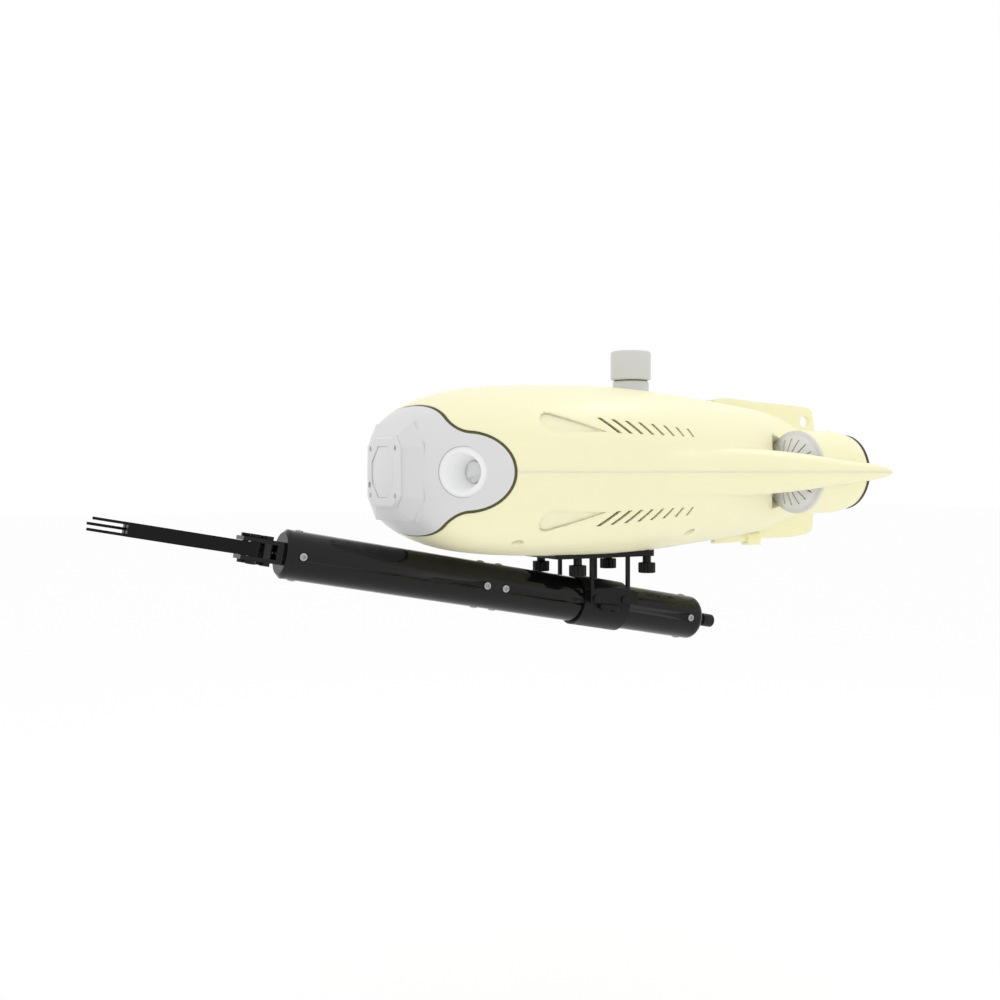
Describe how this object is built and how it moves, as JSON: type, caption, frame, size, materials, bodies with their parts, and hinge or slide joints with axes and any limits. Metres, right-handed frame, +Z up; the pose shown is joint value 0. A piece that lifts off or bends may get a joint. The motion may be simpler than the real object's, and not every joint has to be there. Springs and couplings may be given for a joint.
{
  "type": "underwater inspection vehicle with grabber claw",
  "caption": "Streamlined underwater inspection vehicle with stern and lift thrusters, lamps, camera and a clamped-on grabber claw below the belly.",
  "frame": {"origin": "centre of buoyancy, on the hull's axis and middle plane, at the parting line of the two shells", "axes": "+X to the bow, +Y to port, +Z up"},
  "size_m": [0.5626, 0.2258, 0.2133],
  "materials": {
    "hull_yellow": "smooth moulded shell, pale yellow",
    "mask_grey": "smooth moulded, light grey",
    "seam_rubber": "soft dark seal",
    "bezel_grey": "fine satin",
    "screw_steel": "turned, bright",
    "dark_lens": "dark tinted",
    "window_glass": "clear, polished",
    "black_plastic": "moulded, satin",
    "lamp_grey": "smooth bowl",
    "lens_clear": "clear",
    "board_white": "white lacquered board",
    "anodised_black": "black anodised",
    "battery_wrap": "blue shrink film",
    "circuit_green": "green lacquered board",
    "guard_grey": "moulded, satin",
    "motor_black": "potted motor, satin",
    "propeller_grey": "moulded blades",
    "rim_black": "moulded edge ring",
    "port_grey": "fine satin",
    "bracket_black": "black powder coat",
    "screw_black": "blackened",
    "knob_black": "moulded knob",
    "claw_black": "glossy black anodised",
    "motor_steel": "plain steel can",
    "jaw_black": "satin black"
  },
  "bodies": {
    "hull": {"upper_shell": "hull_yellow", "lower_shell": "hull_yellow", "face_mask": "mask_grey", "face_seam_seal": "seam_rubber", "camera_bezel": "bezel_grey", "bezel_screws": "screw_steel", "light_sensor": "dark_lens", "camera_window": "window_glass", "camera_module": "black_plastic", "lamp_reflectors": "lamp_grey", "lamp_lenses": "lens_clear", "lamp_boards": "board_white", "pressure_canister": "anodised_black", "canister_front_cap": "anodised_black", "canister_rear_cap": "anodised_black", "canister_seals": "seam_rubber", "battery_pack": "battery_wrap", "battery_cradle": "black_plastic", "control_board": "circuit_green", "port_thruster_guard": "guard_grey", "starboard_thruster_guard": "guard_grey", "stern_motors": "motor_black", "duct_rims": "rim_black", "lift_tunnels": "black_plastic", "lift_motors": "motor_black", "tether_port": "port_grey", "port_seal": "seam_rubber", "hull_screws": "screw_steel", "bracket_plate": "bracket_black", "port_side_frame": "bracket_black", "starboard_side_frame": "bracket_black", "clamp_saddle": "bracket_black", "clamp_strap": "bracket_black", "frame_screws": "screw_black", "claw_front_tube": "claw_black", "claw_rear_tube": "claw_black", "claw_joint_sleeve": "anodised_black", "claw_head": "claw_black", "claw_rear_cap": "claw_black", "claw_connector": "black_plastic", "claw_tube_screws": "screw_steel", "claw_board": "circuit_green", "gear_motor": "motor_steel", "fork_bolts": "screw_black", "fork_nuts": "screw_black", "fork_spacers": "anodised_black"},
    "port_stern_propeller": {"port_stern_propeller": "propeller_grey"},
    "starboard_stern_propeller": {"starboard_stern_propeller": "propeller_grey"},
    "port_lift_propeller": {"port_lift_propeller": "propeller_grey"},
    "starboard_lift_propeller": {"starboard_lift_propeller": "propeller_grey"},
    "tail_propeller": {"tail_propeller": "propeller_grey"},
    "port_cap": {"port_cap": "port_grey"},
    "front_port_thumb_screw": {"front_port_thumb_screw": "knob_black"},
    "front_starboard_thumb_screw": {"front_starboard_thumb_screw": "knob_black"},
    "rear_port_thumb_screw": {"rear_port_thumb_screw": "knob_black"},
    "rear_starboard_thumb_screw": {"rear_starboard_thumb_screw": "knob_black"},
    "port_jaw": {"port_jaw": "jaw_black"},
    "starboard_jaw": {"starboard_jaw": "jaw_black"},
    "push_rod": {"push_rod": "screw_steel"},
    "lead_screw": {"lead_screw": "screw_steel"}
  },
  "joints": [
    {"name": "port_stern_spin", "type": "hinge", "parent": "hull", "child": "port_stern_propeller", "pos_m": [-0.143, 0.062, 0], "axis": [-1, 0, 0], "continuous": true},
    {"name": "starboard_stern_spin", "type": "hinge", "parent": "hull", "child": "starboard_stern_propeller", "pos_m": [-0.143, -0.062, 0], "axis": [-1, 0, 0], "continuous": true},
    {"name": "port_lift_spin", "type": "hinge", "parent": "hull", "child": "port_lift_propeller", "pos_m": [0.028, 0.062, 0.0105], "axis": [0, 0, 1], "continuous": true},
    {"name": "starboard_lift_spin", "type": "hinge", "parent": "hull", "child": "starboard_lift_propeller", "pos_m": [0.028, -0.062, 0.0105], "axis": [0, 0, 1], "continuous": true},
    {"name": "tail_lift_spin", "type": "hinge", "parent": "hull", "child": "tail_propeller", "pos_m": [-0.076, 0, 0.0105], "axis": [0, 0, 1], "continuous": true},
    {"name": "cap_turn", "type": "hinge", "parent": "hull", "child": "port_cap", "pos_m": [-0.016, 0, 0.078], "axis": [0, 0, 1], "continuous": true},
    {"name": "front_port_screw_turn", "type": "hinge", "parent": "hull", "child": "front_port_thumb_screw", "pos_m": [0.0456, 0.025, -0.068], "axis": [0, 0, 1], "continuous": true},
    {"name": "front_starboard_screw_turn", "type": "hinge", "parent": "hull", "child": "front_starboard_thumb_screw", "pos_m": [0.0456, -0.025, -0.068], "axis": [0, 0, 1], "continuous": true},
    {"name": "rear_port_screw_turn", "type": "hinge", "parent": "hull", "child": "rear_port_thumb_screw", "pos_m": [-0.0127, 0.025, -0.068], "axis": [0, 0, 1], "continuous": true},
    {"name": "rear_starboard_screw_turn", "type": "hinge", "parent": "hull", "child": "rear_starboard_thumb_screw", "pos_m": [-0.0127, -0.025, -0.068], "axis": [0, 0, 1], "continuous": true},
    {"name": "port_jaw_swing", "type": "hinge", "parent": "hull", "child": "port_jaw", "pos_m": [0.2721, 0.009, -0.04761], "axis": [-0.179, 0, 0.9839], "range_deg": [0, 30]},
    {"name": "starboard_jaw_swing", "type": "hinge", "parent": "hull", "child": "starboard_jaw", "pos_m": [0.2721, -0.009, -0.04761], "axis": [-0.179, 0, 0.9839], "range_deg": [-30, 0]},
    {"name": "rod_slide", "type": "slide", "parent": "hull", "child": "push_rod", "axis": [0.9839, 0, 0.179], "range_m": [0, 0.00363]},
    {"name": "lead_screw_spin", "type": "hinge", "parent": "hull", "child": "lead_screw", "pos_m": [0.19881, 0, -0.06095], "axis": [0.9839, 0, 0.179], "range_deg": [0, 326.3]}
  ],
  "couplings": [
    {"joint": "starboard_jaw_swing", "follows": "port_jaw_swing", "ratio": -1},
    {"joint": "rod_slide", "follows": "port_jaw_swing", "m_per_rad": 0.0069203},
    {"joint": "lead_screw_spin", "follows": "port_jaw_swing", "ratio": 10.87}
  ]
}
